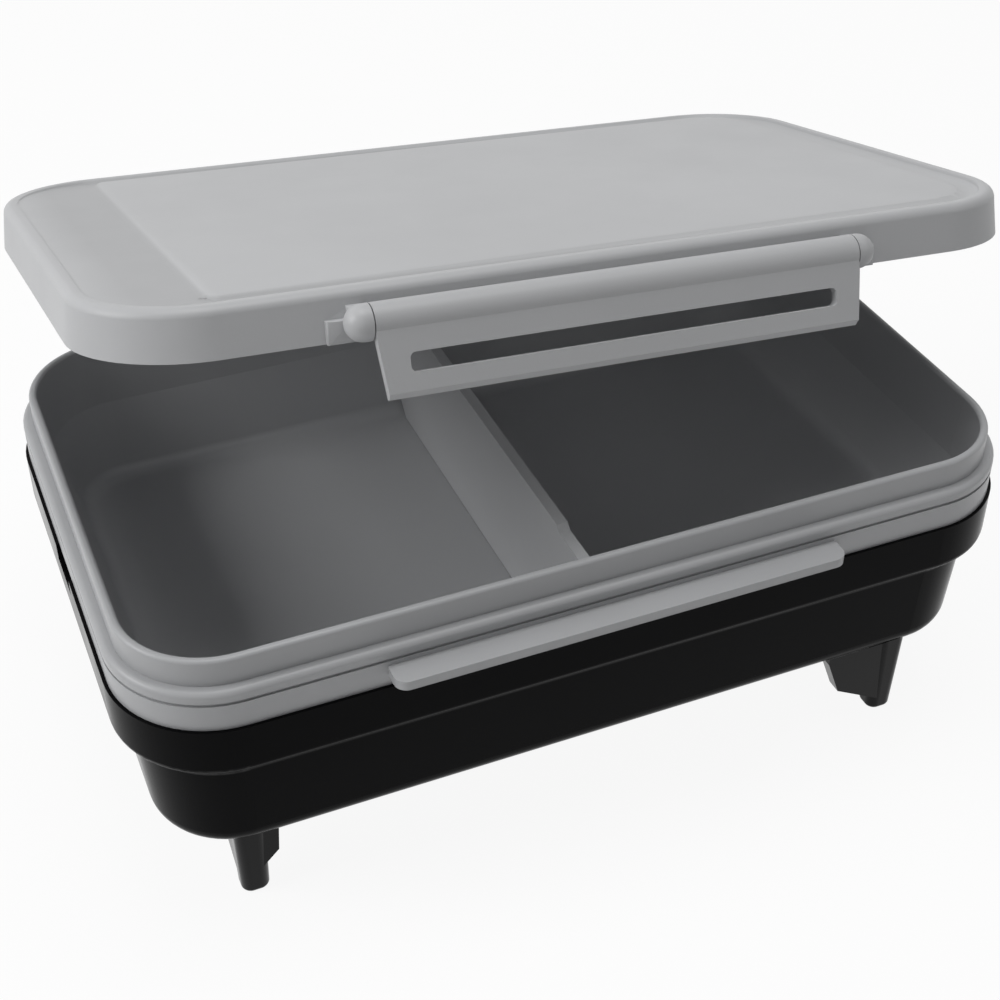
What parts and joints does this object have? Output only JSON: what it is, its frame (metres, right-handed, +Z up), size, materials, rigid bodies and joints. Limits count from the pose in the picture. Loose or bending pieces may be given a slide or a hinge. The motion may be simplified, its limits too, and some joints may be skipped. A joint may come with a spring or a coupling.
{
  "type": "electric food warmer",
  "caption": "Electric lunch-box food warmer: black heated base on legs, grey lift-out tub with a divider, and a grey lift-off lid with a snap latch at front and rear.",
  "frame": {"origin": "on the table, under the middle of the base", "axes": "+X to the right along the long side, -Y to the front, +Z up"},
  "size_m": [0.2733, 0.2093, 0.1723],
  "materials": {
    "grey_plastic": "satin moulded",
    "black_gloss": "gloss moulded",
    "black_matte": "matte moulded",
    "steel": "zinc plated",
    "aluminium": "plain",
    "silicone": "soft",
    "brass": "nickel free",
    "red_lens": "clear tinted",
    "live_insulation": "silicone sleeve",
    "neutral_insulation": "silicone sleeve"
  },
  "bodies": {
    "base": {"base_shell": "black_gloss", "bottom_cover": "black_matte", "inner_well": "black_matte", "bottom_cover_screws": "steel", "heating_plate": "aluminium", "plate_seal": "silicone", "ptc_heater_left": "aluminium", "ptc_heater_right": "aluminium", "heater_clamp": "steel", "clamp_screws": "steel", "thermostat": "black_matte", "thermostat_screws": "steel", "thermal_fuse": "steel", "fuse_clip": "aluminium", "heat_shield": "aluminium", "power_inlet": "black_matte", "inlet_pins": "brass", "indicator_lens": "red_lens", "indicator_lamp": "red_lens", "live_wire": "live_insulation", "neutral_wire": "neutral_insulation", "bridge_wire": "live_insulation", "heater_wire": "neutral_insulation", "leg_front_left": "black_gloss", "leg_front_right": "black_gloss", "leg_rear_right": "black_gloss", "leg_rear_left": "black_gloss"},
    "tub": {"tub": "grey_plastic", "divider": "grey_plastic"},
    "lid": {"lid": "grey_plastic", "lid_gasket": "silicone", "front_latch_pin": "steel", "rear_latch_pin": "steel"},
    "front_latch": {"front_latch": "grey_plastic"},
    "rear_latch": {"rear_latch": "grey_plastic"}
  },
  "joints": [
    {"name": "tub_lift", "type": "slide", "parent": "base", "child": "tub", "axis": [0, 0, 1], "range_m": [0, 0.06]},
    {"name": "lid_lift", "type": "hinge", "parent": "tub", "child": "lid", "pos_m": [0.05188, 0.17987, -0.0116], "axis": [-0.9608, 0.2771, 0.0079], "range_deg": [-14.9, 30]},
    {"name": "front_latch_swing", "type": "hinge", "parent": "lid", "child": "front_latch", "pos_m": [0.01055, -0.05221, 0.15985], "axis": [-0.9974, 0.0069, 0.0715], "range_deg": [-12, 95]},
    {"name": "rear_latch_swing", "type": "hinge", "parent": "lid", "child": "rear_latch", "pos_m": [0.00864, 0.11619, 0.11693], "axis": [0.9974, -0.0069, -0.0715], "range_deg": [-12, 95]}
  ]
}
